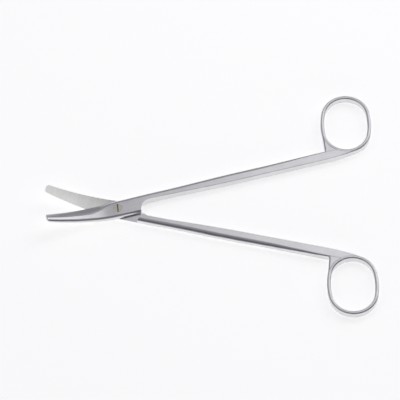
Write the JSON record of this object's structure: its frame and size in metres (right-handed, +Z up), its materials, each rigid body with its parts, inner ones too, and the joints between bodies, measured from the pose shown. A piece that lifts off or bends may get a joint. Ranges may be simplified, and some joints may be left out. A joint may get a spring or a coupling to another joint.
{
  "type": "dissecting scissors",
  "caption": "Slender curved dissecting scissors: two stainless halves with long shanks, short rising blades and oval finger rings, crossed at a lap joint on a slotted screw.",
  "frame": {"origin": "screw axis of the joint, at the level of the surface that the scissors lie on", "axes": "-X along the blades and +X along the shanks, midway between the two open halves; +Z up, the way the blades rise"},
  "size_m": [0.1718, 0.1312, 0.0123],
  "materials": {
    "satin_steel": "satin ground stainless steel",
    "screw_steel": "turned and polished stainless steel"
  },
  "bodies": {
    "lower": {"lower_half": "satin_steel", "joint_screw": "screw_steel"},
    "upper": {"upper_half": "satin_steel"}
  },
  "joints": [
    {"name": "scissor_pivot", "type": "hinge", "parent": "lower", "child": "upper", "pos_m": [0, 0, 0.00225], "axis": [0, 0, 1], "range_deg": [-27.1, 50]}
  ]
}
